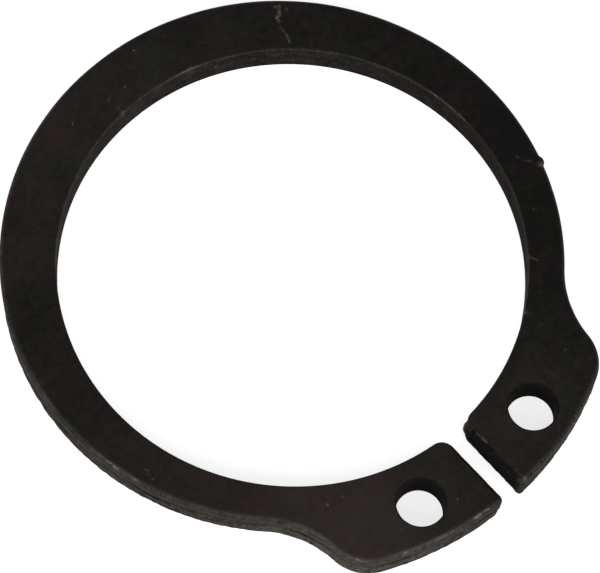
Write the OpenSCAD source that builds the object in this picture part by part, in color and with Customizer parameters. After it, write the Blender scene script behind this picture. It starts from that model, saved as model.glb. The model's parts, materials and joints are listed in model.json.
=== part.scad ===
// External retaining ring (circlip), stamped from spring steel strip and clipped round a shaft.
// The ring lies flat on its underside. The origin is the centre of its bore on that underside,
// +Z points up through the bore, and the gap between the two lugs opens towards -Y.

/* [Ring] */
// Inner diameter of the free ring, before it is spread over its shaft
free_d = 23.2; // [18:0.1:30]
// Thickness of the strip
thickness = 1.75; // [1.2:0.05:2.5]
// Radial width of the band opposite the gap, where it is widest
width_back = 3.05; // [2:0.05:4]
// Radial width that the band's outer circle leaves at the gap, under the lugs
width_front = 1.6; // [1.2:0.05:2]

/* [Lugs] */
// Height of the lugs over the inner circle, at the gap
lug_height = 4.25; // [3.9:0.05:5.5]
// Distance from the bore's centre back to the centre of the lugs' outer edge
lug_bow = 0.6; // [0:0.1:4]
// Angle from the gap's centre line to each shoulder, round the centre of the lugs' outer edge
shoulder_angle = 25.4; // [23:0.1:30]
// Radius of the rounded shoulder at each lug's far end
shoulder_r = 2.3; // [1.5:0.05:3]
// Radius of the hollow where each lug runs into the band
hollow_r = 5.4; // [3:0.1:8]
// Width of the gap between the lugs
gap = 1.2; // [0.8:0.05:2.5]
// Radius of each lug's inner corner at the gap
inner_corner_r = 0.7; // [0.3:0.05:1.2]
// Radius of each lug's outer corner at the gap
outer_corner_r = 0.35; // [0.35:0.05:0.8]

/* [Plier holes] */
// Diameter of each plier hole
hole_d = 2.4; // [1.6:0.05:2.8]
// Height of each hole's centre over the inner circle
hole_height = 2.2; // [1.9:0.05:2.5]
// Angle from the gap's centre line to each hole
hole_angle = 15.5; // [14:0.1:18]

/* [Stamped edges] */
// Radius of the rolled edge along the top of the outer walls
roll_r = 0.3; // [0.1:0.05:0.5]
// Radius of the rolled edge along the top of the bore, the gap and the plier holes
inner_roll_r = 0.15; // [0.05:0.05:0.25]
// Height of the torn band, at the foot of the outer walls and the gap
torn_h = 1; // [0.5:0.05:1.1]
// How far the torn band stands back from the smooth band over it
torn_back = 0.03; // [0.02:0.01:0.08]
// Break along the bottom edge of the bore and the plier holes
foot_break = 0.08; // [0.04:0.01:0.12]

/* [Burr] */
// Angle of the burr round the band, from the gap's centre line
burr_angle = 70; // [60:1:170]
// Width of the burr along the outer wall
burr_w = 0.7; // [0.4:0.05:1]
// How far the burr stands out of the outer wall
burr_reach = 0.15; // [0.05:0.01:0.3]
// Height of the burr, down from the rolled edge
burr_h = 0.6; // [0.3:0.05:0.8]

/* [Hidden] */
$fn = 180;
steel = [0.14, 0.128, 0.12];
// Flat steps in a rolled edge, a corner, half a lug's outer edge, a shoulder, a hollow and half the band
ROLL_STEPS = 4;
CORNER_STEPS = 6;
LUG_STEPS = 8;
SHOULDER_STEPS = 12;
HOLLOW_STEPS = 8;
BAND_STEPS = 48;
// How far cutters run clear of the metal
clear = 1;
// Metal that the blank has inside the bore's wall, for the bore to be cut through
bore_stock = 0.5;
// How far a corner's round crosses the wall that it would otherwise only touch
bite = 0.01;

inner_r = free_d / 2;
band_r = inner_r + (width_back + width_front) / 2;
lug_r = inner_r + lug_height + lug_bow;
hole_reach = inner_r + hole_height;

// Angles are turned from the gap's centre line towards +X. A point at distance r and angle a:
function around(r, a) = [r * sin(a), -r * cos(a)];
// The angle of v, within half a turn of the angle near
function turn(v, near = 0) = let (a = atan2(v[0], -v[1])) a + 360 * round((near - a) / 360);
// Where a circle round p meets one round q, on the left going from p to q
function meet(p, rp, q, rq) =
    let (d = norm(q - p), along = (rp * rp - rq * rq + d * d) / (2 * d), u = (q - p) / d)
    p + along * u + sqrt(rp * rp - along * along) * [-u[1], u[0]];

band_centre = [0, (width_back - width_front) / 2];
lug_centre = [0, lug_bow];
shoulder = lug_centre + around(lug_r - shoulder_r, shoulder_angle);
hollow = meet(band_centre, band_r + hollow_r, shoulder, shoulder_r + hollow_r);
outer_corner_x = gap / 2 + outer_corner_r;
outer_corner = [outer_corner_x, lug_bow - sqrt(pow(lug_r - outer_corner_r, 2) - pow(outer_corner_x, 2))];
inner_corner_x = gap / 2 + inner_corner_r;
inner_corner = [inner_corner_x, -sqrt(pow(inner_r + inner_corner_r - bite, 2) - pow(inner_corner_x, 2))];

// The profile of a wall, from the underside up: [how far it stands back, height]
function rolled_top(roll) = [
    for (i = [0:ROLL_STEPS])
        let (a = 90 * i / ROLL_STEPS)
        [roll * (1 - cos(a)), thickness - roll * (1 - sin(a))]
];
function torn_wall(roll) =
    concat([[torn_back, 0], [torn_back, torn_h], [0, torn_h + torn_back]], rolled_top(roll));
clean_wall = concat([[foot_break, 0], [0, foot_break]], rolled_top(inner_roll_r));

// Points of the outline along an arc, after its first: [point, direction out of the metal, roll].
// way is 1 where the metal is inside the arc and -1 where it is outside. The roll may grow along the arc.
function arc(centre, r, from, to, steps, way = 1, roll = roll_r, roll_to = roll_r) = [
    for (i = [1:steps])
        let (u = around(1, from + (to - from) * i / steps))
        [centre + r * u, way * u, roll + (roll_to - roll) * i / steps]
];

// Half of the outline, from the gap's wall out round the lug and along the band to its back
lug_from = turn(outer_corner - lug_centre);
shoulder_to = turn(hollow - shoulder);
band_from = turn(hollow - band_centre);
hollow_from = turn(shoulder - hollow, shoulder_to - 180);
hollow_to = turn(band_centre - hollow, hollow_from);
outer_half = concat(
    [[outer_corner - [outer_corner_r, 0], [-1, 0], inner_roll_r]],
    arc(outer_corner, outer_corner_r, -90, lug_from, CORNER_STEPS, 1, inner_roll_r, roll_r),
    arc(lug_centre, lug_r, lug_from, shoulder_angle, LUG_STEPS),
    arc(shoulder, shoulder_r, shoulder_angle, shoulder_to, SHOULDER_STEPS),
    arc(hollow, hollow_r, hollow_from, hollow_to, HOLLOW_STEPS, -1),
    arc(band_centre, band_r, band_from, 180, BAND_STEPS)
);

// The other side of the same half, from the gap's wall in round the corner and along the bore.
// Past the corner each point lies behind one of the outer half.
bore_from = turn(inner_corner);
function behind(v) = bore_from + (turn(v) - lug_from) * (180 - bore_from) / (180 - lug_from);
inner_half = concat(
    [[inner_corner - [inner_corner_r, 0], [-1, 0], inner_roll_r]],
    arc(inner_corner, inner_corner_r, -90, bore_from - 180, CORNER_STEPS, 1, inner_roll_r, inner_roll_r),
    [
        for (i = [CORNER_STEPS + 1:len(outer_half) - 1])
            let (u = around(1, i == len(outer_half) - 1 ? 180 : behind(outer_half[i][0])))
            [(inner_r - bore_stock) * u, -u, inner_roll_r]
    ]
);

// The whole outline: out along the +X lug, round the back to the -X lug, and home along the bore
function mirrored(q) = [[-q[0][0], q[0][1]], [-q[1][0], q[1][1]], q[2]];
function reversed(list) = [for (i = [len(list) - 1:-1:0]) list[i]];
function both_halves(half) = concat(half, [for (i = [len(half) - 2:-1:0]) mirrored(half[i])]);
outer = both_halves(outer_half);
outline = concat(outer, reversed(both_halves(inner_half)));

// The blank: the stamped wall's profile carried round the whole outline
module blank() {
    count = len(outline);
    levels = len(torn_wall(roll_r));
    points = [
        for (k = [0:levels - 1])
            for (q = outline)
                let (w = torn_wall(q[2])[k], p = q[0] - w[0] * q[1])
                [p[0], p[1], w[1]]
    ];
    walls = [
        for (k = [0:levels - 2])
            for (j = [0:count - 1])
                let (a = k * count + j, b = k * count + (j + 1) % count)
                each [[a, a + count, b + count], [a, b + count, b]]
    ];
    top = (levels - 1) * count;
    faces = [
        for (i = [0:len(outer) - 2])
            let (a = i, b = i + 1, c = count - 2 - i, d = count - 1 - i)
            each [[a, b, c], [a, c, d], [top + a, top + d, top + c], [top + a, top + c, top + b]]
    ];
    polyhedron(points, concat(walls, faces), convexity = 10);
}

// Clears the space in front of a clean round wall of radius r, with its rolled edge
module opening(centre, r) {
    foot = clean_wall[0];
    brim = clean_wall[len(clean_wall) - 1];
    translate(centre)
        rotate_extrude()
            polygon(concat(
                [[0, -clear], [r + foot[0], -clear]],
                [for (w = clean_wall) [r + w[0], w[1]]],
                [[r + brim[0], thickness + clear], [0, thickness + clear]]
            ));
}

// A small burr on the outer wall, just under the rolled edge
module burr() {
    middle = band_centre + around(band_r + burr_reach - burr_w / 2, burr_angle);
    translate([middle[0], middle[1], thickness - roll_r - burr_h])
        cylinder(d = burr_w, h = burr_h);
}

module retaining_ring() {
    color(steel) {
        difference() {
            blank();
            opening([0, 0], inner_r);
            for (side = [-1, 1])
                opening(around(hole_reach, side * hole_angle), hole_d / 2);
        }
        burr();
    }
}

retaining_ring();
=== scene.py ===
import json
import math
from collections import namedtuple

import bpy
import numpy as np
from mathutils import Matrix, Vector, kdtree, noise
from mathutils.geometry import delaunay_2d_cdt


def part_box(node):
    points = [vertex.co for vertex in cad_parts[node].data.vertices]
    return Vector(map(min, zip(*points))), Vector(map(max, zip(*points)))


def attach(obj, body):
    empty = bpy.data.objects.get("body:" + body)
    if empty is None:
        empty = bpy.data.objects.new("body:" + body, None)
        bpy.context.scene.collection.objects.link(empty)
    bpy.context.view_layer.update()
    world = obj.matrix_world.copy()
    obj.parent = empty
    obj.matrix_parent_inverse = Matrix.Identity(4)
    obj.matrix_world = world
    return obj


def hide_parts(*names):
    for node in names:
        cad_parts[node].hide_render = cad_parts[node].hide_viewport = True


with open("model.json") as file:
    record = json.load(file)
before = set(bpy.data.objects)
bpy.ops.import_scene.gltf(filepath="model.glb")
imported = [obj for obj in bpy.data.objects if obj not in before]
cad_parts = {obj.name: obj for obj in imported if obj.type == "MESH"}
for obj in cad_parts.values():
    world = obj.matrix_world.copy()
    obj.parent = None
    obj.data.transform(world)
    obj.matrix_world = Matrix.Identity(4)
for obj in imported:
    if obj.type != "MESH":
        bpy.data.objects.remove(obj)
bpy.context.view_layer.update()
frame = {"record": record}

# External retaining ring (circlip), stamped from spring steel strip, phosphated black and oiled.
# Shapes are worked out in millimetres and become metres when the mesh is made.
# Angles round the ring are in degrees, turned from the gap's centre line (-Y) towards +X.
MM = 0.001

# ---------------------------------------------------------------------------------------------
# Sizes: the bore, the holes and the overall reach come from the frame, the rest repeats the part

mounts = {mount["name"]: mount for mount in frame["record"]["mounts"]}
cad_low, cad_high = (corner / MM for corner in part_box("retaining_ring"))
THICKNESS = cad_high.z
BORE_R = mounts["seat"]["dims"]["r_mm"]
BAND_R = cad_high.x
BAND_CENTRE = Vector((0, cad_high.y - BAND_R))
HOLE_R = mounts["plier_hole_right"]["dims"]["r_mm"]
HOLES = [
    Vector(mounts[name]["pos_m"][:2]) / MM for name in ("plier_hole_right", "plier_hole_left")
]

# The lugs: height over the bore, how far the centre of their outer edge lies behind the bore's,
# the shoulder and the hollow that join them to the band, and their corners at the gap
LUG_HEIGHT = 4.25
LUG_BOW = 0.6
SHOULDER_ANGLE = 25.4
SHOULDER_R = 2.3
HOLLOW_R = 5.4
GAP = 1.2
INNER_CORNER_R = 0.7
OUTER_CORNER_R = 0.35

# The radius of the rolled edge along the top of each wall
ROLL = 0.3
BORE_ROLL = 0.11
GAP_ROLL = 0.17
HOLE_ROLL = 0.07

# The tear below the smooth sheared band: its height, how much higher it rides towards the gap,
# where the strip gave way sooner, within how many degrees, and its depth
TEAR_HEIGHT = 1.04
TEAR_RISE = 0.12
TEAR_RISE_REACH = 70
TEAR_DEPTH = 0.045

# The torn band under it: how far it stands back, and by what share of that it leans out again
TORN_BACK = 0.02
TORN_LEAN = 0.6

# The depth of the fine lines down a smooth wall
LINE_DEPTH = 0.004

# The break along the foot of a clean and of a torn wall, and where the row between its ends lies,
# as a share of it in and up, which makes it nearly round
FOOT_BREAK = 0.05
TORN_FOOT_BREAK = 0.02
FOOT_ROUND = 0.3

# The plier holes are pierced from the other side, so they grow narrower towards the foot
HOLE_TAPER = 0.05

# Rows of the mesh down a wall, and how many of the first ones have the top face's finish
ROLL_ROWS = 9
SHEARED_ROWS = 5
TORN_ROWS = 10
FACE_ROWS = {"outer": 3, "bore": 3, "cut": 1}

# The spacing of the mesh's points along a wall, over the top, over the underside and at a scar
WALL_STEP = 0.09
FACE_STEP = 0.17
UNDERSIDE_STEP = 3 * FACE_STEP
MARK_STEP = 0.045

# The least number of steps in an arc, and how clear of the rim the inner points of a flat face
# keep, in steps
LEAST_ARC_STEPS = 3
RIM_CLEARANCE = 0.6

# Points closer than this are taken for one, and edges that bend by more degrees look sharp
MERGE_WITHIN = 1e-7
SHARP_ANGLE = 50

# Rows at the tear: how far below the sheared band, how much of the tear's depth and of the torn
# band's they take, and how much painted shadow darkens them where the tear is open
TearRow = namedtuple("TearRow", "down tear torn dark")
TEAR_ROWS = [
    TearRow(0.03, 1.0, 0.0, 1.0),
    TearRow(0.1, 0.9, 0.0, 1.0),
    TearRow(0.2, 0.0, 1.0, 0.8),
    TearRow(0.4, 0.0, 1.0, 0.0),
]


def around(r, angle):
    """The point at distance r from the bore's centre, at this angle round the ring."""
    a = math.radians(angle)
    return Vector((r * math.sin(a), -r * math.cos(a)))


def turn(v, near=0.0):
    """The angle of v, within half a turn of the angle near."""
    angle = math.degrees(math.atan2(v[0], -v[1]))
    return angle + 360 * round((near - angle) / 360)


def meet(p, reach_p, q, reach_q):
    """Where a circle round p meets one round q, on the left going from p to q."""
    apart = (q - p).length
    along = (reach_p**2 - reach_q**2 + apart**2) / (2 * apart)
    u = (q - p) / apart
    return p + along * u + math.sqrt(reach_p**2 - along**2) * Vector((-u.y, u.x))


def mixed(a, b, t):
    """The value t of the way from a to b."""
    return a + (b - a) * t


def bell(t):
    """1 at 0, falling smoothly to 0 at 1 on either side."""
    return (1 - min(1, abs(t))**2) ** 2


# ---------------------------------------------------------------------------------------------
# The ring's outline, as stations along its wall

# point and out are the place and the direction out of the metal, roll is the rolled edge's
# radius, torn is 1 where the wall tears off below the sheared band and 0 where it is clean to the
# foot, heavy is 1 where the colour is darkened as painted shade, in the gap and the
# holes where the metal round them hides the light, and kind is outer, bore, or cut for the gap's
# walls and the holes
Station = namedtuple("Station", "point out roll torn heavy kind")


def arc(centre, r, start, end, way=1, roll=(ROLL, ROLL), torn=(1, 1), heavy=(0, 0), kind="outer"):
    """Stations along an arc, without its end.

    way is -1 where the metal lies outside the arc. roll, torn and heavy are given at its start
    and its end.
    """
    steps = max(LEAST_ARC_STEPS, round(r * math.radians(abs(end - start)) / WALL_STEP))
    stations = []
    for i in range(steps):
        t = i / steps
        u = around(1, mixed(start, end, t))
        values = [mixed(*pair, t) for pair in (roll, torn, heavy)]
        stations.append(Station(centre + r * u, way * u, *values, kind))
    return stations


def gap_wall(start, end):
    """Stations along the straight wall of the gap, without its end."""
    steps = round((end - start).length / WALL_STEP)
    wall = Station(start, Vector((-1, 0)), GAP_ROLL, torn=1, heavy=1, kind="cut")
    return [wall._replace(point=start.lerp(end, i / steps)) for i in range(steps)]


def half_outline():
    """From the back of the bore round to the gap, out along it, and round the lug to the back."""
    lug_r = BORE_R + LUG_HEIGHT + LUG_BOW
    lug_centre = Vector((0, LUG_BOW))
    shoulder = lug_centre + around(lug_r - SHOULDER_R, SHOULDER_ANGLE)
    hollow = meet(BAND_CENTRE, BAND_R + HOLLOW_R, shoulder, SHOULDER_R + HOLLOW_R)
    outer_x = GAP / 2 + OUTER_CORNER_R
    outer_y = LUG_BOW - math.sqrt((lug_r - OUTER_CORNER_R) ** 2 - outer_x**2)
    outer_corner = Vector((outer_x, outer_y))
    inner_x = GAP / 2 + INNER_CORNER_R
    inner_corner = Vector((inner_x, -math.sqrt((BORE_R + INNER_CORNER_R) ** 2 - inner_x**2)))

    bore_end = turn(inner_corner)
    lug_start = turn(outer_corner - lug_centre)
    shoulder_end = turn(hollow - shoulder)
    hollow_start = turn(shoulder - hollow, shoulder_end - 180)
    hollow_end = turn(BAND_CENTRE - hollow, hollow_start)
    band_start = turn(hollow - BAND_CENTRE)

    bore = arc(
        Vector((0, 0)), BORE_R, 180, bore_end, -1,
        roll=(BORE_ROLL, BORE_ROLL), torn=(0, 0), kind="bore",
    )
    # the inner corner goes over from the bore's wall to the gap's, and the outer one from the
    # gap's to the lug's, where the painted shade ends before the corner does
    inner = arc(
        inner_corner, INNER_CORNER_R, bore_end - 180, -90,
        roll=(BORE_ROLL, GAP_ROLL), torn=(0, 1), heavy=(0, 1), kind="bore",
    )
    wall = gap_wall(Vector((GAP / 2, inner_corner.y)), Vector((GAP / 2, outer_corner.y)))
    outer = arc(
        outer_corner, OUTER_CORNER_R, -90, lug_start, roll=(GAP_ROLL, ROLL), heavy=(0.9, -0.6)
    )
    return (
        bore + inner + wall + outer
        + arc(lug_centre, lug_r, lug_start, SHOULDER_ANGLE)
        + arc(shoulder, SHOULDER_R, SHOULDER_ANGLE, shoulder_end)
        + arc(hollow, HOLLOW_R, hollow_start, hollow_end, -1)
        + arc(BAND_CENTRE, BAND_R, band_start, 180)
    )


def ring_outline():
    """The closed outline, with the metal on its left."""
    half = half_outline()
    back = Station(
        BAND_CENTRE + around(BAND_R, 180), around(1, 180), ROLL, torn=1, heavy=0, kind="outer"
    )
    other = []
    for station in reversed(half[1:]):
        point, out = (Vector((-v.x, v.y)) for v in (station.point, station.out))
        # the -X lug's corners get no painted shade and stay as pale as its outer wall
        heavy = station.heavy if station.kind == "cut" else 0
        other.append(station._replace(point=point, out=out, heavy=heavy))
    return half + [back] + other


def hole_outline(centre):
    """The round wall of a plier hole, with the metal on its left."""
    return arc(
        centre, HOLE_R, 360, 0, -1,
        roll=(HOLE_ROLL, HOLE_ROLL), torn=(0, 0), heavy=(1, 1), kind="cut",
    )


# ---------------------------------------------------------------------------------------------
# Uneven places: each is a function of where it is, so that the ring always comes out the same

# A noise: how much it does, how long its waves are, its seed, and how fast it changes down the
# wall, where less than 1 draws its shapes out from top to foot
Wave = namedtuple("Wave", "level size seed down", defaults=(1.0,))

# Shares of the rolled edge's radius, of how far it is rubbed and given its painted highlight,
# and of a scar's brightness
ROLL_WAVES = [Wave(0.12, 2.6, 0), Wave(0.05, 0.6, 5)]
RUB_WAVES = [Wave(0.5, 0.7, 51), Wave(0.45, 0.22, 53)]
SCAR_WAVES = [Wave(0.6, 0.09, 41)]
# Millimetres of the tear's height, of the torn band's depth, of the chips in a cut edge and of
# those in the foot
TEAR_WAVES = [Wave(0.11, 1.3, 9), Wave(0.05, 0.35, 3)]
TORN_WAVES = [Wave(0.022, 0.4, 11, 0.7), Wave(0.0154, 0.17, 17, 0.8)]
CUT_CHIPS = [Wave(0.07, 0.45, 63)]
FOOT_CHIPS = [Wave(0.08, 0.4, 61)]
# Shares of the tear's depth, of how far it opens, and of the lines down a smooth wall
DEPTH_WAVES = [Wave(0.5, 0.4, 15)]
OPEN_WAVES = [Wave(0.4, 0.5, 33)]
LINE_WAVES = [Wave(1.0, 0.16, 7, 0.2)]
# Where the tear opens by itself, and by how much at the most
STRAY_WAVES = [Wave(2.2, 2.4, 31)]
STRAY_OPENING = 0.5
# Shares of a burr's reach and of its brightness, and the share of it round which that speckles
BURR_WAVES = [Wave(0.3, 0.12, 21)]
BURR_SPECKLE = [Wave(1.2, 0.13, 43)]
BURR_SHEEN = 0.5


def ripple(p, z, size, seed):
    """Smooth noise from -1 to 1 whose waves are about size millimetres long."""
    return noise.noise(Vector((p.x / size + seed, p.y / size - seed, z / size)))


def waves(kinds, p, z=0.0):
    """The sum of these noises at the place p and the height z."""
    return sum(w.level * ripple(p, z * w.down, w.size, w.seed) for w in kinds)


# A scar in the top face or its rim: a line from start to end, half its width, how deep it is, and
# how bright the bared steel is
Scar = namedtuple("Scar", "start end wide depth shine")
SCRATCH_DEPTH = 0.15


def scratch(r0, angle0, r1, angle1, wide, shine):
    """A scar whose ends are given round the ring and whose depth follows from its width."""
    return Scar(around(r0, angle0), around(r1, angle1), wide, SCRATCH_DEPTH * wide, shine)


FACE_SCARS = [
    # the scuff across the band, behind
    scratch(14.02, 141.0, 13.54, 141.0, 0.14, 0.42),
    scratch(14.03, 142.0, 14.02, 140.8, 0.1, 0.3),
    scratch(13.56, 141.0, 13.4, 141.6, 0.14, 0.55),
    scratch(13.4, 141.6, 13.18, 141.1, 0.1, 0.42),
    scratch(13.92, 139.5, 13.8, 139.2, 0.08, 0.22),
    scratch(12.9, 141.1, 12.48, 139.7, 0.075, 0.26),
    scratch(12.4, 139.5, 12.25, 139.2, 0.1, 0.42),
    scratch(12.25, 139.2, 12.02, 138.9, 0.085, 0.42),
    # along the +X lug's edge at the gap
    Scar(Vector((0.79, -12.85)), Vector((0.8, -13.12)), 0.045, 0.01, 0.55),
    Scar(Vector((0.8, -15.1)), Vector((0.78, -15.2)), 0.06, 0.02, 0.5),
    Scar(Vector((0.88, -15.6)), Vector((0.85, -15.75)), 0.07, 0.02, 0.7),
    Scar(Vector((0.76, -15.4)), Vector((0.8, -15.5)), 0.06, 0.02, 0.5),
    # small knocks round the band
    scratch(12.88, 73.9, 13.12, 73.3, 0.05, 0.35),
    scratch(12.6, 75.5, 12.64, 75.3, 0.06, 0.35),
    scratch(11.74, 50.1, 12.06, 49.1, 0.05, 0.32),
    scratch(12.3, 62.0, 12.35, 62.3, 0.05, 0.3),
    scratch(12.55, 33.3, 12.6, 33.5, 0.05, 0.3),
    scratch(14.0, 29.4, 14.06, 29.6, 0.06, 0.3),
    scratch(12.01, -175.2, 11.97, -175.0, 0.06, 0.65),
    scratch(12.7, -175.4, 12.6, -174.9, 0.05, 0.35),
    scratch(12.64, 179.9, 12.58, -179.8, 0.05, 0.45),
    scratch(13.22, -165.7, 13.18, -165.3, 0.06, 0.5),
    scratch(12.96, -74.8, 12.9, -74.2, 0.06, 0.4),
    scratch(13.1, -74.0, 13.05, -73.7, 0.05, 0.3),
    scratch(13.22, -72.8, 13.14, -72.4, 0.05, 0.3),
    scratch(12.4, -30.9, 12.34, -30.6, 0.05, 0.35),
    scratch(14.55, -9.1, 14.48, -8.8, 0.05, 0.4),
    scratch(14.7, -21.6, 14.66, -21.4, 0.05, 0.35),
]
RIM_SCARS = [
    # the +X lug's chipped inner corner, its outer one, bared and with a painted highlight, and the
    # bared edge between them
    Scar(Vector((0.72, -11.85)), Vector((0.62, -12.1)), 0.3, 0.06, 0.05),
    Scar(Vector((0.84, -15.9)), Vector((0.98, -15.98)), 0.17, 0.0, 1.1),
    Scar(Vector((0.6, -12.45)), Vector((0.6, -12.85)), 0.05, 0.0, 0.28),
    Scar(Vector((0.6, -12.97)), Vector((0.6, -13.1)), 0.1, 0.0, 0.75),
    # knocks along the bore
    Scar(around(BORE_R, 49.8), around(BORE_R, 50.3), 0.1, 0.03, 0.3),
    Scar(around(BORE_R, 35.3), around(BORE_R, 35.7), 0.1, 0.02, 0.4),
    Scar(around(BORE_R, -174.9), around(BORE_R, -174.7), 0.1, 0.04, 0.35),
    Scar(around(BORE_R, 164), around(BORE_R, 165), 0.09, 0.01, 0.3),
    # and the scraped steel by the burr
    Scar(around(13.69, 72.0), around(13.69, 71.5), 0.15, 0.03, 0.45),
]


def off_line(p, start, end):
    """The distance of p from the line that joins start and end."""
    way = end - start
    t = min(1, max(0, (p - start).dot(way) / way.length_squared))
    return (p - start - t * way).length


def scarred(p, scars):
    """How deep and how bright the scars leave the place p."""
    depth = shine = 0.0
    for scar in scars:
        away = off_line(p, scar.start, scar.end)
        if away < scar.wide:
            strength = bell(away / scar.wide)
            depth += scar.depth * strength
            shine = max(shine, scar.shine * strength * (1 + waves(SCAR_WAVES, p)))
    return depth, shine


# Torn metal that stands out of the wall: its middle, width, reach, top and foot, and how bright
# it is. Where the reach is below 0 the wall is worn back instead.
Burr = namedtuple("Burr", "middle width reach top foot shine")
BURRS = [
    # where the die's edge is chipped
    Burr(BAND_CENTRE + around(BAND_R, 70), 0.7, 0.15, THICKNESS - 0.05, THICKNESS - 0.95, 0.0),
    # a crumb at the foot of the +X lug's inner corner, bright as bare torn steel and with painted
    # light where it faces the lamp
    Burr(Vector((0.93, -11.64)), 0.46, 0.13, 1.05, -0.5, 1.3),
    # the outer corners: sharp at the foot on the +X lug, and on the other sharp above, worn below
    Burr(Vector((0.7, -15.73)), 0.6, 0.09, 1.2, -0.6, 0.0),
    Burr(Vector((-0.7, -15.73)), 0.7, 0.065, 1.9, 0.2, 0.0),
    Burr(Vector((-0.7, -15.73)), 0.9, -0.05, 0.7, -0.8, 0.0),
]


def burred(p, z):
    """How far burrs stand out of the wall at this place, and how bright they are."""
    out = shine = 0.0
    for burr in BURRS:
        across = 2 * (p - burr.middle).length / burr.width
        if across < 1 and burr.foot < z < burr.top:
            down = (2 * z - burr.top - burr.foot) / (burr.top - burr.foot)
            strength = bell(across) * (1 - down**4)
            out += burr.reach * strength * (1 + waves(BURR_WAVES, p, z))
            shine += burr.shine * strength * max(0, BURR_SHEEN + waves(BURR_SPECKLE, p, z))
    return out, shine


# A stretch of the wall: its middle and half its length, in degrees, and how much is done there
Run = namedtuple("Run", "middle reach level", defaults=(1.0,))

# Where tumbling has rubbed the rolled edge, in runs that also paint a highlight where the lamps
# catch the edge, and how far it is rubbed at the least
RUB_AND_SHEEN_RUNS = {
    "outer": [
        Run(-85, 75, 0.35), Run(-101, 9, 0.55), Run(-80, 13, 0.85), Run(-37.5, 6, 0.9),
        Run(-30, 6, 0.75), Run(-22, 7, 1.0), Run(-15, 6, 0.9), Run(-7.5, 7, 0.85),
        Run(6, 6, 0.4), Run(22, 6, 0.3), Run(112, 16, 0.5), Run(150, 12, 0.6), Run(205, 18, 0.5),
    ],
    "bore": [
        Run(96, 15, 0.85), Run(60, 22, 0.5), Run(166, 9, 1.0), Run(214, 10, 0.6),
        Run(226, 9, 0.6), Run(30, 8, 0.3), Run(-60, 12, 0.5),
    ],
    "cut": [],
}
RUB_AND_SHEEN_LEAST = {"outer": 0.1, "bore": 0.12, "cut": 0.0}

# Where the tear stands open, deeper and with a painted shadow along it as a dark line
OPEN_TEARS = [
    Run(-94, 3.5), Run(-6, 4.5), Run(-71.5, 7), Run(-39, 6), Run(-24, 6), Run(118, 8),
    Run(164, 5), Run(52, 4), Run(21, 4),
]


def strongest(runs, p):
    """How much the strongest of these runs does at the place p."""
    levels = [run.level * bell((turn(p, run.middle) - run.middle) / run.reach) for run in runs]
    return max(levels, default=0)


def rubbed_and_sheen(station):
    """How far the rolled edge is rubbed and given a painted highlight here, from 0 to 1."""
    p = station.point
    level = mixed(RUB_AND_SHEEN_LEAST[station.kind], 1, strongest(RUB_AND_SHEEN_RUNS[station.kind], p))
    return min(1, level * (1 + waves(RUB_WAVES, p)))


def tear_opening(station):
    """How far the tear stands open at this place, from 0 to 1."""
    if station.kind != "outer":
        return 0.0
    p = station.point
    stray = STRAY_OPENING * min(1, max(0, waves(STRAY_WAVES, p)))
    return min(1, max(strongest(OPEN_TEARS, p), stray) * (1 + waves(OPEN_WAVES, p)))


# ---------------------------------------------------------------------------------------------
# The wall's rows, from the brim to the foot

# How far a row stands back from the outline, its height, how rubbed and how bare it is, and how
# dark the tear makes it
Row = namedtuple("Row", "back z rub bare tear", defaults=(0.0, 0.0, 0.0))

# The part of the rolled edge that is rubbed and painted with a highlight, and that shows a scar:
# its middle and its reach, as shares of the way over the edge. The scar goes on below it with the
# last share of its brightness.
RUB_MIDDLE, RUB_REACH = 0.46, 0.44
Bared = namedtuple("Bared", "middle reach below")
BARED = {
    "outer": Bared(0.35, 0.5, 0.4),
    "bore": Bared(0.35, 0.5, 0.4),
    "cut": Bared(0.22, 0.22, 0.0),
}


def fine_lines(p, z):
    """How far the fine lines down a smooth wall stand back."""
    return LINE_DEPTH * (1 + waves(LINE_WAVES, p, z))


def rolled_rows(station, roll, shine):
    """The rolled edge, quarter round, from the brim to the sheared band."""
    worn = rubbed_and_sheen(station)
    bared = BARED[station.kind]
    rows = []
    for i in range(ROLL_ROWS + 1):
        a = math.radians(90 * i / ROLL_ROWS)
        t = i / ROLL_ROWS
        rub = worn * bell((t - RUB_MIDDLE) / RUB_REACH)
        bare = shine * bell((t - bared.middle) / bared.reach)
        back, z = roll * (1 - math.sin(a)), THICKNESS - roll * (1 - math.cos(a))
        rows.append(Row(back, z, rub, bare))
    return rows


def sheared_rows(p, top, tear_z, bare):
    """The smooth sheared band, down to the tear, whose painted shadow line ends it."""
    rows = []
    for i in range(1, SHEARED_ROWS + 1):
        t = i / SHEARED_ROWS
        z = mixed(top, tear_z, t)
        rows.append(Row(fine_lines(p, z), z, bare=bare * (1 - t), tear=float(t == 1)))
    return rows


def lower_rows(station, tear_z):
    """The tear and the torn band, or on a clean wall the same fine lines as above, and the foot."""
    p, torn = station.point, station.torn
    opening = tear_opening(station)
    tear = mixed(TORN_BACK, TEAR_DEPTH, opening * (1 + waves(DEPTH_WAVES, p)))
    foot = mixed(FOOT_BREAK, TORN_FOOT_BREAK + max(0, waves(FOOT_CHIPS, p)), torn)
    rows = []
    for row in TEAR_ROWS:
        z = tear_z - row.down
        back = row.tear * tear + row.torn * TORN_BACK
        rows.append(Row(mixed(fine_lines(p, z), back, torn), z, tear=row.dark * opening))
    start = tear_z - TEAR_ROWS[-1].down
    for i in range(1, TORN_ROWS + 1):
        t = i / TORN_ROWS
        z = mixed(start, foot, t)
        back = max(0.0, TORN_BACK * (1 - TORN_LEAN * t) + waves(TORN_WAVES, p, z))
        rows.append(Row(mixed(fine_lines(p, z), back, torn), z))
    last = rows[-1].back
    rows.append(Row(last + FOOT_ROUND * foot, FOOT_ROUND * foot))
    rows.append(Row(last + foot, 0.0))
    return rows


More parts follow.
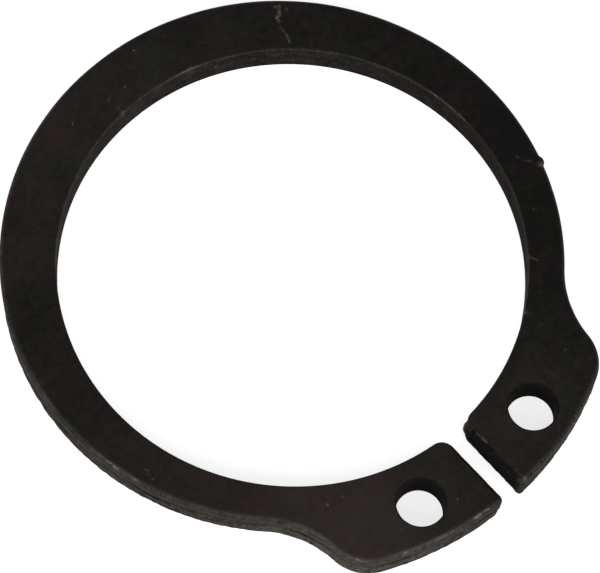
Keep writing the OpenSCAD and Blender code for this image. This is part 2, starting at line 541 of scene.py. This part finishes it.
def wall_rows(station):
    """The rows of the wall at this station."""
    p = station.point
    depth, shine = scarred(p, RIM_SCARS)
    roll = station.roll * (1 + waves(ROLL_WAVES, p))
    if station.kind == "cut":
        roll += max(0, waves(CUT_CHIPS, p))
    roll += depth
    tear_z = TEAR_HEIGHT + TEAR_RISE * bell(turn(p) / TEAR_RISE_REACH) + waves(TEAR_WAVES, p)
    rows = (
        rolled_rows(station, roll, shine)
        + sheared_rows(p, THICKNESS - roll, tear_z, BARED[station.kind].below * shine)
        + lower_rows(station, tear_z)
    )
    # of the cut walls, only the holes' are clean
    taper = HOLE_TAPER / THICKNESS if station.kind == "cut" and not station.torn else 0.0
    finished = []
    for row in rows:
        out, burr_shine = burred(p, row.z)
        back = row.back - out - taper * (THICKNESS - row.z)
        finished.append(row._replace(back=back, bare=max(row.bare, burr_shine)))
    return finished


# ---------------------------------------------------------------------------------------------
# The mesh

# The material slots, in the order of FINISHES, and those of a wall's rolled edge, of its sheared
# band and of the torn one
FACE, ROLLED, SHEARED, TORN, BORE, CUT = range(6)
SLOTS = {"outer": (ROLLED, SHEARED, TORN), "bore": (ROLLED, BORE, BORE), "cut": (CUT, CUT, CUT)}

# How much painted shade the top of a wall gets, as a share, and what every row adds to it
PAINTED_SHADE_AT_TOP = 0.76
PAINTED_SHADE_PER_ROW = 0.02


class Mesh:
    """Points, faces and each face's material slot, gathered until the object is made."""

    def __init__(self):
        self.points, self.faces, self.slots, self.along = [], [], [], []
        self.marks = {"rub": [], "bare": [], "tear": [], "heavy": []}

    def point(self, x, y, z, along=(0, 0, 0), **marks):
        """Adds a point. The marks that aren't given are 0."""
        self.points.append((x, y, z))
        self.along.append(along)
        for name, values in self.marks.items():
            values.append(marks.get(name, 0.0))

    def wall(self, stations):
        """Carries the wall's rows round a closed outline and returns its brim and its foot."""
        first = len(self.points)
        lengths = [0.0]
        for a, b in zip(stations, stations[1:]):
            lengths.append(lengths[-1] + (b.point - a.point).length)
        for station, s in zip(stations, lengths):
            for k, row in enumerate(wall_rows(station)):
                p = station.point - row.back * station.out
                # no burr reaches out of the solid's box
                y = max(p.y, cad_low.y)
                # the brim and the foot belong to the flat faces, which get no painted shade
                share = min(1, PAINTED_SHADE_AT_TOP + PAINTED_SHADE_PER_ROW * k) if k and row.z else 0.0
                self.point(
                    p.x, y, row.z, (s, row.z, station.torn), rub=row.rub, bare=row.bare,
                    tear=row.tear * station.torn, heavy=station.heavy * share,
                )
        count = len(stations)
        rows = (len(self.points) - first) // count
        for i, station in enumerate(stations):
            here, there = first + i * rows, first + (i + 1) % count * rows
            for k in range(rows - 1):
                self.faces.append((here + k + 1, there + k + 1, there + k, here + k))
                self.slots.append(wall_slot(station.kind, k))
        brim = [first + i * rows for i in range(count)]
        return brim, [index + rows - 1 for index in brim]

    def flat(self, loops, inner, z, up):
        """Fills the flat face between closed loops of points, with inner as its inner points."""
        known = [index for loop in loops for index in loop]
        new = list(range(len(self.points), len(self.points) + len(inner)))
        for p in inner:
            depth, shine = scarred(p, FACE_SCARS) if up else (0, 0)
            self.point(p.x, p.y, z - depth, bare=shine)
        spots = [Vector(self.points[i][:2]) for i in known] + inner
        edges, start = [], 0
        for loop in loops:
            n = len(loop)
            edges += [(start + i, start + (i + 1) % n) for i in range(n)]
            start += n
        filled = delaunay_2d_cdt(spots, edges, [], 0, MERGE_WITHIN, True)
        places, _, faces, origin, _, _ = filled
        middles = np.array([sum((places[v] for v in face), Vector((0, 0))) / 3 for face in faces])
        inside = within(middles, [[self.points[i][:2] for i in loop] for loop in loops])
        ids = known + new
        for face, kept in zip(faces, inside):
            if kept:
                corners = [ids[origin[v][0]] for v in face]
                self.faces.append(tuple(corners if up else corners[::-1]))
                self.slots.append(FACE)


def wall_slot(kind, row):
    """The material slot of the faces below this row of a wall."""
    if row < FACE_ROWS[kind]:
        return FACE
    rolled, upper, lower = SLOTS[kind]
    if row < ROLL_ROWS:
        return rolled
    return upper if row < ROLL_ROWS + SHEARED_ROWS else lower


def within(spots, loops):
    """Which of the spots lie inside an odd number of the closed loops."""
    odd = np.zeros(len(spots), bool)
    for loop in loops:
        for (ax, ay), (bx, by) in zip(loop, loop[1:] + loop[:1]):
            if ay != by:
                rises = (spots[:, 1] > ay) != (spots[:, 1] > by)
                odd ^= rises & (spots[:, 0] < ax + (spots[:, 1] - ay) * (bx - ax) / (by - ay))
    return odd


def staggered(x0, y0, x1, y1, step):
    """Points step apart over a rectangle, each row half a step along from the last."""
    rise = step * math.sqrt(0.75)
    rows = math.ceil((y1 - y0) / rise)
    across = math.ceil((x1 - x0) / step)
    return [
        Vector((x0 + step * (i + 0.5 * (row % 2)), y0 + rise * row))
        for row in range(rows + 1)
        for i in range(across + 1)
    ]


def inner_points(mesh, loops, step):
    """An even pattern of points over the flat face, finer at its scars, clear of the loops."""
    rim = kdtree.KDTree(sum(len(loop) for loop in loops))
    for loop in loops:
        for index in loop:
            x, y, _ = mesh.points[index]
            rim.insert((x, y, 0), index)
    rim.balance()

    def clear(p, spacing):
        return rim.find((p.x, p.y, 0))[2] > RIM_CLEARANCE * spacing

    def off_scars(p):
        away = 2 * MARK_STEP
        return all(off_line(p, scar.start, scar.end) > scar.wide + away for scar in FACE_SCARS)

    points = []
    for scar in FACE_SCARS:
        x0, x1 = sorted((scar.start.x, scar.end.x))
        y0, y1 = sorted((scar.start.y, scar.end.y))
        wide = scar.wide + MARK_STEP
        spots = staggered(x0 - wide, y0 - wide, x1 + wide, y1 + wide, MARK_STEP)
        points += [
            p for p in spots if off_line(p, scar.start, scar.end) < wide and clear(p, MARK_STEP)
        ]
    spots = staggered(cad_low.x, cad_low.y, cad_high.x, cad_high.y, step)
    points += [p for p in spots if p.length > BORE_R and clear(p, step) and off_scars(p)]
    return points


# How pale the phosphate coat is made: everywhere, how much paler towards one side, and round some
# places, each with its middle, reach and level (below 0 it is darker). Past the even level, the
# side and the places are partly an uneven coat and partly painted light and shade, lying as the
# light fell over the face.
PALENESS_EVERYWHERE = 0.2
LIT_SIDE_PALENESS = 0.16
PALER_SIDE = -130
PALER_PLACES = [
    (around(12.8, -34), 6.5, 0.65),
    (around(14.6, -26), 2.6, 0.3),
    (around(15.2, 12), 3.0, 0.06),
    (around(13.2, -172), 5.0, 0.18),
    (around(13.3, 16), 5.0, 0.25),
    (around(13.8, -108), 5.0, -0.12),
    (around(12.8, 66), 4.5, -0.15),
]


def pale_coat_and_light(p):
    """How pale the coat is made at p, with its painted light, from about 0 to 1."""
    pale_and_lit = PALENESS_EVERYWHERE + LIT_SIDE_PALENESS * p.dot(around(1, PALER_SIDE)) / BAND_R
    for place, reach, level in PALER_PLACES:
        pale_and_lit += level * math.exp(-(((p - place).length / reach) ** 2))
    return pale_and_lit


def stamped_ring():
    """The ring as one closed mesh, with what its materials read kept at its points."""
    mesh = Mesh()
    outlines = [ring_outline()] + [hole_outline(centre) for centre in HOLES]
    brims, feet = zip(*[mesh.wall(outline) for outline in outlines])
    mesh.flat(brims, inner_points(mesh, brims, FACE_STEP), THICKNESS, True)
    mesh.flat(feet, inner_points(mesh, feet, UNDERSIDE_STEP), 0.0, False)

    used = sorted({index for face in mesh.faces for index in face})
    place = {index: i for i, index in enumerate(used)}
    points = [Vector(mesh.points[i]) * MM for i in used]
    data = bpy.data.meshes.new("stamped_ring")
    data.from_pydata(points, [], [[place[i] for i in face] for face in mesh.faces])
    data.polygons.foreach_set("material_index", mesh.slots)
    data.polygons.foreach_set("use_smooth", [True] * len(data.polygons))
    along = data.attributes.new("along", "FLOAT_VECTOR", "POINT")
    along.data.foreach_set("vector", [value for i in used for value in mesh.along[i]])
    marks = {name: [values[i] for i in used] for name, values in mesh.marks.items()}
    # the coat's paleness, partly painted light falling unevenly over the face
    marks["pale_and_lit"] = [pale_coat_and_light(Vector(mesh.points[i][:2])) for i in used]
    for name, values in marks.items():
        data.attributes.new(name, "FLOAT", "POINT").data.foreach_set("value", values)
    data.set_sharp_from_angle(angle=math.radians(SHARP_ANGLE))
    ring = bpy.data.objects.new("stamped_ring", data)
    bpy.context.collection.objects.link(ring)
    return ring


# ---------------------------------------------------------------------------------------------
# Materials

# A noise: how long its waves are in millimetres, how many finer ones it carries, and how strongly
Texture = namedtuple("Texture", "size detail roughness")
CLOUD = Texture(2.4, 3.0, 0.6)
PATCH = Texture(0.45, 3.0, 0.65)
CRYSTAL = Texture(0.08, 3.0, 0.7)
FILM = Texture(1.5, 3.0, 0.55)
RUB_STRETCH = Texture(0.6, 3.0, 0.6)
FLECK = Texture(0.11, 4.0, 0.7)
STREAK = Texture(0.13, 4.0, 0.7)
CRUMB = Texture(0.24, 4.0, 0.7)
BAND = Texture(0.36, 3.0, 0.6)

# The height of the relief, in metres
PATCH_RELIEF = 4e-6
CRYSTAL_RELIEF = 1.2e-6
STREAK_RELIEF = 4e-6
CRUMB_RELIEF = 1e-5


def put(tree, kind, inputs=(), **settings):
    """Adds a shader node. Each input is a value or another node's output."""
    node = tree.nodes.new("ShaderNode" + kind)
    for key, value in settings.items():
        setattr(node, key, value)
    for key, value in dict(inputs).items():
        if isinstance(value, bpy.types.NodeSocket):
            tree.links.new(value, node.inputs[key])
        else:
            node.inputs[key].default_value = value
    return node


def maths(tree, operation, *values):
    """The result of this operation on the values; MULTIPLY_ADD is the first two's product plus
    the third."""
    return put(tree, "Math", dict(enumerate(values)), operation=operation).outputs[0]


def centred(tree, value):
    """A noise from 0 to 1, moved so that it lies evenly round 0."""
    return maths(tree, "SUBTRACT", value, 0.5)


def ramp(tree, value, low, high, to_low=0.0, to_high=1.0):
    """Carries value from one range to another, smoothly and kept within it."""
    inputs = {
        "Value": value, "From Min": low, "From Max": high, "To Min": to_low, "To Max": to_high
    }
    return put(tree, "MapRange", inputs, interpolation_type="SMOOTHSTEP").outputs["Result"]


def mixture(tree, share, colour, other, **settings):
    """Two colours mixed, the other one by this share."""
    inputs = {0: share, 6: colour, 7: other}
    return put(tree, "Mix", inputs, data_type="RGBA", **settings).outputs[2]


def stretched(tree, place, factors):
    """The place with its coordinates multiplied, so that a factor below 1 draws a noise out."""
    inputs = {0: place, 1: factors}
    return put(tree, "VectorMath", inputs, operation="MULTIPLY").outputs[0]


def noise_at(tree, place, texture):
    """Noise from 0 to 1."""
    inputs = {
        "Vector": place, "Scale": 1 / texture.size,
        "Detail": texture.detail, "Roughness": texture.roughness,
    }
    return put(tree, "TexNoise", inputs, noise_dimensions="3D").outputs[0]


def effect(name, inputs, outputs):
    """An empty shader node group with these sockets: name, kind and default value."""
    tree = bpy.data.node_groups.new(name, "ShaderNodeTree")
    for label, kind, value in inputs:
        socket = tree.interface.new_socket(
            label, in_out="INPUT", socket_type="NodeSocket" + kind
        )
        if value is not None:
            socket.default_value = value
    for label, kind in outputs:
        tree.interface.new_socket(label, in_out="OUTPUT", socket_type="NodeSocket" + kind)
    given = tree.nodes.new("NodeGroupInput").outputs
    made = tree.nodes.new("NodeGroupOutput").inputs
    return tree, given, made


# The coat's tone is 0 at the dark shade and 1 at the pale one, and goes no lower than this
DARKEST_TONE = -0.1
# The greenish and the reddish film: how far their noise is shifted and what they multiply the
# colour by. A film shows where its noise runs through the first range, and weaker where the coat
# is paler.
FILM_TINTS = [(3.1, (0.81, 1.08, 0.8, 1)), (9.7, (1.2, 0.9, 1.06, 1))]
FILM_SHOWS = (0.44, 0.64)
FILM_ON_PALE = {"low": 0.3, "high": 1.1, "to_low": 1.0, "to_high": 0.4}


def coat_effect():
    """The phosphate coat: fine crystals, cloudy patches with a greenish or reddish film, and paler
    where its paleness, which carries painted light, is high."""
    tree, given, made = effect(
        "phosphate_coat",
        [
            ("Place", "Vector", None), ("Thin", "Float", 0.0),
            ("Dark", "Color", None), ("Pale", "Color", None),
            ("Patches", "Float", 0.3), ("Crystals", "Float", 0.3), ("Film", "Float", 0.3),
        ],
        [("Colour", "Color"), ("Grain", "Float"), ("Height", "Float")],
    )
    place = given["Place"]
    cloud = noise_at(tree, place, CLOUD)
    patch = noise_at(tree, place, PATCH)
    crystal = noise_at(tree, place, CRYSTAL)
    uneven = maths(tree, "ADD", centred(tree, cloud), centred(tree, patch))
    tone = maths(tree, "MULTIPLY_ADD", uneven, given["Patches"], given["Thin"])
    tone = maths(tree, "MULTIPLY_ADD", centred(tree, crystal), given["Crystals"], tone)
    tone = maths(tree, "MAXIMUM", tone, DARKEST_TONE)
    colour = mixture(tree, tone, given["Dark"], given["Pale"], clamp_factor=False)
    strength = maths(tree, "MULTIPLY", given["Film"], ramp(tree, given["Thin"], **FILM_ON_PALE))
    for shift, tint in FILM_TINTS:
        shifted = put(tree, "VectorMath", {0: place, 1: (shift, -shift, shift)}).outputs[0]
        film = ramp(tree, noise_at(tree, shifted, FILM), *FILM_SHOWS)
        share = maths(tree, "MULTIPLY", film, strength)
        colour = mixture(tree, share, colour, tint, blend_type="MULTIPLY")
    tree.links.new(colour, made["Colour"])
    tree.links.new(crystal, made["Grain"])
    fine = maths(tree, "MULTIPLY", crystal, CRYSTAL_RELIEF)
    tree.links.new(maths(tree, "MULTIPLY_ADD", patch, PATCH_RELIEF, fine), made["Height"])
    return tree


# A place on the wall is how far round it lies, how high, and how torn the wall is there.
# Multiplied by these it draws a noise out along the edge, down the wall or round it.
ALONG_THE_EDGE = (0.3, 1, 1)
DOWN_THE_WALL = (1, 0.3, 0)
ROUND_THE_WALL = (0.4, 1, 0)

# Polish, which also paints a highlight, comes in runs, with some left between them. Flecks show
# where their noise is high, more of them the more the edge is rubbed, and none where it is hardly
# rubbed.
RUN_SHOWS = (0.36, 0.64)
POLISH_BETWEEN = 0.3
FLECKS_BY_RUB = 0.2
FLECK_SHOWS = {"low": 0.6, "high": 0.9, "to_low": 0.0, "to_high": 0.85}
FLECK_RUB = (0.35, 1.0)


def rub_and_sheen_effect():
    """Where tumbling has burnished the edges, in runs that also paint a highlight, and rubbed the
    coat off in flecks drawn out along them."""
    tree, given, made = effect(
        "rubbed_edge_and_sheen",
        [("Along", "Vector", None), ("Rub", "Float", 0.0), ("Amount", "Float", 0.5)],
        [("Polish", "Float"), ("Flecks", "Float")],
    )
    drawn = stretched(tree, given["Along"], ALONG_THE_EDGE)
    run = ramp(tree, noise_at(tree, drawn, RUB_STRETCH), *RUN_SHOWS)
    uneven = maths(tree, "MULTIPLY_ADD", run, 1 - POLISH_BETWEEN, POLISH_BETWEEN)
    reach = maths(tree, "MULTIPLY", given["Rub"], given["Amount"])
    tree.links.new(maths(tree, "MULTIPLY", reach, uneven), made["Polish"])
    level = maths(tree, "MULTIPLY_ADD", reach, FLECKS_BY_RUB, noise_at(tree, drawn, FLECK))
    fleck = ramp(tree, level, **FLECK_SHOWS)
    worn = maths(tree, "MULTIPLY", fleck, ramp(tree, given["Rub"], *FLECK_RUB))
    tree.links.new(worn, made["Flecks"])
    return tree


# A speck's edge: where it ends and where it is full, as shares of its cell
SPECK_EDGE = (0.16, 0.06)


def speck_effect():
    """A few bright specks where single crystals have come off the steel."""
    tree, given, made = effect(
        "bare_specks",
        [("Place", "Vector", None), ("Size", "Float", 0.5), ("Share", "Float", 0.1)],
        [("Mask", "Float")],
    )
    scale = maths(tree, "DIVIDE", 1.0, given["Size"])
    cell = put(tree, "TexVoronoi", {"Vector": given["Place"], "Scale": scale}).outputs
    chosen = put(tree, "SeparateColor", {0: cell["Color"]}).outputs[0]
    rare = maths(tree, "LESS_THAN", chosen, given["Share"])
    spot = ramp(tree, cell["Distance"], *SPECK_EDGE)
    tree.links.new(maths(tree, "MULTIPLY", rare, spot), made["Mask"])
    return tree


def streak_effect():
    """Fine lines down a sheared wall, long bands round it and the lumpy break of a torn one."""
    tree, given, made = effect(
        "stamping_marks",
        [
            ("Along", "Vector", None), ("Streaks", "Float", 1.0),
            ("Bands", "Float", 0.0), ("Break", "Float", 0.0),
        ],
        [("Tone", "Float"), ("Height", "Float")],
    )
    along = given["Along"]
    fine = noise_at(tree, stretched(tree, along, DOWN_THE_WALL), STREAK)
    crumbs = noise_at(tree, along, CRUMB)
    bands = noise_at(tree, stretched(tree, along, ROUND_THE_WALL), BAND)
    tone = maths(tree, "MULTIPLY", centred(tree, fine), given["Streaks"])
    tone = maths(tree, "MULTIPLY_ADD", centred(tree, bands), given["Bands"], tone)
    tone = maths(tree, "MULTIPLY_ADD", centred(tree, crumbs), given["Break"], tone)
    depth = maths(tree, "MULTIPLY", given["Streaks"], STREAK_RELIEF)
    height = maths(tree, "MULTIPLY", fine, depth)
    depth = maths(tree, "MULTIPLY", given["Break"], CRUMB_RELIEF)
    height = maths(tree, "MULTIPLY_ADD", crumbs, depth, height)
    tree.links.new(tone, made["Tone"])
    tree.links.new(height, made["Height"])
    return tree


# What the finishes share: the shade of the rubbed steel, of the burnished coat with its painted
# highlight and of the painted shadow in the open tear, and the factor by which the painted shade
# multiplies the colour
RUBBED = (0.17, 0.152, 0.137, 1)
BURNISHED_AND_SHEEN = (0.074, 0.0635, 0.055, 1)
TEAR_SHADOW_COLOUR = (0.002, 0.002, 0.002, 1)
PAINTED_SHADE_FACTOR = (0.235, 0.235, 0.235, 1)

# How far rubbing and its painted highlight take the colour to the burnished one, and the tear to
# its painted shadow
BURNISH_AND_SHEEN_SHARE = 0.6
TEAR_SHADOW_SHARE = 0.75
# The specks' size in millimetres and their share of the rubbed steel's shade
SPECK_SIZE = 0.55
SPECK_LEVEL = 0.36
# A scar shows where the coat's grain is high, and a little of it where the grain is low
SCAR_GRAIN = {"low": 0.35, "high": 0.62, "to_low": 0.25, "to_high": 1.0}
# What the grain, bare or polished steel and the tear add to the roughness, and how metallic bare
# steel is
GRAIN_ROUGH = 0.3
BARE_ROUGH = -0.12
TEAR_ROUGH = 0.4
BARE_METALLIC = 0.5

# The coat's shade where it is darkest and where it is palest, its roughness and how it mirrors,
# how strong its patches, crystals and film are, how far rubbing and its painted highlight go, how
# many specks there are, how strong the streaks, bands and crumbs of the stamping are, and how
# strong the coat's relief is
Finish = namedtuple(
    "Finish",
    "dark pale roughness specular patches crystals film rub specks streaks bands crumbs grain",
)
FINISHES = {
    "phosphated_face": Finish(
        dark=(0.0056, 0.0049, 0.0044), pale=(0.0225, 0.0178, 0.0157),
        roughness=0.44, specular=0.1, patches=0.86, crystals=1.42, film=0.8, rub=1.0,
        specks=0.03, streaks=0.0, bands=0.0, crumbs=0.0, grain=1.0,
    ),
    "rolled_edge": Finish(
        dark=(0.0142, 0.0122, 0.0104), pale=(0.0375, 0.0318, 0.027),
        roughness=0.5, specular=0.035, patches=1.0, crystals=1.2, film=0.4, rub=1.0,
        specks=0.04, streaks=3.6, bands=1.6, crumbs=2.0, grain=0.8,
    ),
    "sheared_wall": Finish(
        dark=(0.014, 0.0119, 0.0101), pale=(0.035, 0.0294, 0.0249),
        roughness=0.6, specular=0.02, patches=1.1, crystals=1.2, film=0.35, rub=0.6,
        specks=0.05, streaks=4.0, bands=2.6, crumbs=2.5, grain=0.7,
    ),
    "torn_edge": Finish(
        dark=(0.0192, 0.0169, 0.0144), pale=(0.059, 0.0518, 0.0449),
        roughness=0.75, specular=0.02, patches=1.2, crystals=1.6, film=0.35, rub=0.5,
        specks=0.06, streaks=1.0, bands=2.4, crumbs=4.4, grain=1.0,
    ),
    "bore_wall": Finish(
        dark=(0.0122, 0.0103, 0.0093), pale=(0.0345, 0.0288, 0.0264),
        roughness=0.7, specular=0.008, patches=0.9, crystals=0.8, film=0.4, rub=0.4,
        specks=0.03, streaks=2.0, bands=1.8, crumbs=1.4, grain=0.8,
    ),
    "cut_wall": Finish(
        dark=(0.0145, 0.0132, 0.0108), pale=(0.035, 0.0305, 0.0255),
        roughness=0.7, specular=0.008, patches=1.2, crystals=1.2, film=0.9, rub=0.4,
        specks=0.03, streaks=1.8, bands=1.2, crumbs=2.0, grain=0.8,
    ),
}


def black_steel(name, finish, effects):
    """Phosphated spring steel in this finish."""
    material = bpy.data.materials.new(name)
    material.use_nodes = True
    tree = material.node_tree
    shader = tree.nodes["Principled BSDF"]
    shader.inputs["Specular IOR Level"].default_value = finish.specular

    def apply(effect_name, **inputs):
        return put(tree, "Group", inputs, node_tree=effects[effect_name]).outputs

    def read(attribute, output="Fac"):
        return put(tree, "Attribute", attribute_name=attribute).outputs[output]

    spot = put(tree, "TexCoord").outputs["Object"]
    place = put(tree, "VectorMath", {0: spot, 3: 1 / MM}, operation="SCALE").outputs[0]
    along, tear = read("along", "Vector"), read("tear")
    marks = apply(
        "streak", Along=along, Streaks=finish.streaks, Bands=finish.bands, Break=finish.crumbs
    )
    coat = apply(
        "coat", Place=place, Thin=maths(tree, "ADD", read("pale_and_lit"), marks["Tone"]),
        Dark=(*finish.dark, 1), Pale=(*finish.pale, 1),
        Patches=finish.patches, Crystals=finish.crystals, Film=finish.film,
    )
    rub = apply("rub", Along=along, Rub=read("rub"), Amount=finish.rub)
    speck = apply("speck", Place=place, Size=SPECK_SIZE, Share=finish.specks)["Mask"]

    scar = maths(tree, "MULTIPLY", read("bare"), ramp(tree, coat["Grain"], **SCAR_GRAIN))
    bare = maths(tree, "MAXIMUM", rub["Flecks"], maths(tree, "MULTIPLY", speck, SPECK_LEVEL))
    bare = maths(tree, "MAXIMUM", bare, scar)
    burnish = maths(tree, "MULTIPLY", rub["Polish"], BURNISH_AND_SHEEN_SHARE)
    # painted shade: darker gap walls, holes and +X lug corner, where the metal hides the light
    colour = mixture(tree, read("heavy"), coat["Colour"], PAINTED_SHADE_FACTOR, blend_type="MULTIPLY")
    # painted highlight along the rolled edge, laid on with its real burnish
    colour = mixture(tree, burnish, colour, BURNISHED_AND_SHEEN)
    colour = mixture(tree, bare, colour, RUBBED)
    # painted shadow along the open tear
    colour = mixture(tree, maths(tree, "MULTIPLY", tear, TEAR_SHADOW_SHARE), colour, TEAR_SHADOW_COLOUR)
    tree.links.new(colour, shader.inputs["Base Color"])

    grain = centred(tree, coat["Grain"])
    smooth = maths(tree, "MAXIMUM", bare, rub["Polish"])
    rough = maths(tree, "MULTIPLY_ADD", grain, GRAIN_ROUGH, finish.roughness)
    rough = maths(tree, "MULTIPLY_ADD", smooth, BARE_ROUGH, rough)
    rough = maths(tree, "MULTIPLY_ADD", tear, TEAR_ROUGH, rough)
    tree.links.new(rough, shader.inputs["Roughness"])
    tree.links.new(maths(tree, "MULTIPLY", bare, BARE_METALLIC), shader.inputs["Metallic"])
    height = maths(tree, "MULTIPLY_ADD", coat["Height"], finish.grain, marks["Height"])
    bump = put(tree, "Bump", {"Height": height, "Distance": 1.0, "Strength": 1.0})
    tree.links.new(bump.outputs[0], shader.inputs["Normal"])
    return material


# ---------------------------------------------------------------------------------------------
# Floor, lamps and camera

# Half the floor's width in metres, how far it lies below the ring in millimetres, its colour, how
# brightly it glows where the camera sees it, and how bright the light from all sides is
FLOOR_REACH = 3.0
FLOOR_BELOW = 0.01
FLOOR_COLOUR = 0.6
FLOOR_GLOW = 0.7
WORLD_LEVEL = 0.3

# The camera: its direction and roll in degrees, its distance and aim in millimetres, and its lens
CAMERA_AZIMUTH = -46.655
CAMERA_ELEVATION = 67.741
CAMERA_ROLL = -5.097
CAMERA_DISTANCE = 160.074
CAMERA_LENS = 193.79
CAMERA_AIM = Vector((-0.0946, -0.7241, 0.0))

# A lamp on either side of the camera and a wide one under it: where they stand and how wide they
# look, in degrees, and how strong they are
SIDE_LAMP_TURN = 43
SIDE_LAMP_ELEVATION = 33
SIDE_LAMP_WIDTH = 35
FILL_ELEVATION = 40
FILL_WIDTH = 120
LAMP_STRENGTH = 1.2


def make_floor():
    """A pale matt sheet, which the camera sees evenly white."""
    reach, z = FLOOR_REACH, -FLOOR_BELOW * MM
    corners = [(-reach, -reach, z), (reach, -reach, z), (reach, reach, z), (-reach, reach, z)]
    data = bpy.data.meshes.new("floor")
    data.from_pydata(corners, [], [(0, 1, 2, 3)])
    floor = bpy.data.objects.new("floor", data)
    bpy.context.collection.objects.link(floor)
    material = bpy.data.materials.new("pale_floor")
    material.use_nodes = True
    tree = material.node_tree
    shader = tree.nodes["Principled BSDF"]
    shader.inputs["Base Color"].default_value = (FLOOR_COLOUR, FLOOR_COLOUR, FLOOR_COLOUR, 1)
    shader.inputs["Roughness"].default_value = 1.0
    shader.inputs["Specular IOR Level"].default_value = 0.0
    shader.inputs["Emission Color"].default_value = (1, 1, 1, 1)
    ray = put(tree, "LightPath").outputs
    seen = maths(tree, "MAXIMUM", ray["Is Camera Ray"], ray["Is Glossy Ray"])
    seen = maths(tree, "MAXIMUM", seen, ray["Is Transmission Ray"])
    tree.links.new(maths(tree, "MULTIPLY", seen, FLOOR_GLOW), shader.inputs["Emission Strength"])
    data.materials.append(material)


def make_world():
    """Even white light from all sides."""
    world = bpy.data.worlds.new("studio")
    world.use_nodes = True
    back = world.node_tree.nodes["Background"]
    back.inputs["Color"].default_value = (1, 1, 1, 1)
    back.inputs["Strength"].default_value = WORLD_LEVEL
    bpy.context.scene.world = world


def direction(azimuth, elevation):
    """The unit vector towards this azimuth (0 at -Y, 90 at +X) and elevation."""
    a, e = math.radians(azimuth), math.radians(elevation)
    return Vector((math.sin(a) * math.cos(e), -math.cos(a) * math.cos(e), math.sin(e)))


def soft_sun(name, azimuth, elevation, width):
    """A lamp far away that looks this wide, in degrees."""
    light = bpy.data.lights.new(name, "SUN")
    light.energy = LAMP_STRENGTH
    light.angle = math.radians(width)
    lamp = bpy.data.objects.new(name, light)
    lamp.rotation_mode = "QUATERNION"
    lamp.rotation_quaternion = direction(azimuth, elevation).to_track_quat("Z", "Y")
    bpy.context.collection.objects.link(lamp)


def make_camera():
    """The camera, far away behind a long lens and rolled a little."""
    data = bpy.data.cameras.new("camera")
    data.sensor_width = 36.0
    data.lens = CAMERA_LENS
    data.clip_start, data.clip_end = 0.001, 10.0
    camera = bpy.data.objects.new("camera", data)
    towards = direction(CAMERA_AZIMUTH, CAMERA_ELEVATION)
    forward = -towards
    level_up = (Vector((0, 0, 1)) - forward * forward.z).normalized()
    up = Matrix.Rotation(math.radians(CAMERA_ROLL), 3, forward) @ level_up
    right = forward.cross(up)
    turned = Matrix((right, up, -forward)).transposed()
    spot = (CAMERA_AIM + towards * CAMERA_DISTANCE) * MM
    camera.matrix_world = Matrix.Translation(spot) @ turned.to_4x4()
    bpy.context.collection.objects.link(camera)
    bpy.context.scene.camera = camera


# ---------------------------------------------------------------------------------------------
# The scene

ring = stamped_ring()
effects = {
    "coat": coat_effect(), "rub": rub_and_sheen_effect(), "speck": speck_effect(), "streak": streak_effect()
}
for name, finish in FINISHES.items():
    ring.data.materials.append(black_steel(name, finish, effects))
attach(ring, "root")
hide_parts("retaining_ring")

make_floor()
make_world()
soft_sun("left_lamp", CAMERA_AZIMUTH - SIDE_LAMP_TURN, SIDE_LAMP_ELEVATION, SIDE_LAMP_WIDTH)
soft_sun("right_lamp", CAMERA_AZIMUTH + SIDE_LAMP_TURN, SIDE_LAMP_ELEVATION, SIDE_LAMP_WIDTH)
soft_sun("fill", CAMERA_AZIMUTH, FILL_ELEVATION, FILL_WIDTH)
make_camera()
bpy.context.scene.view_settings.view_transform = "Standard"
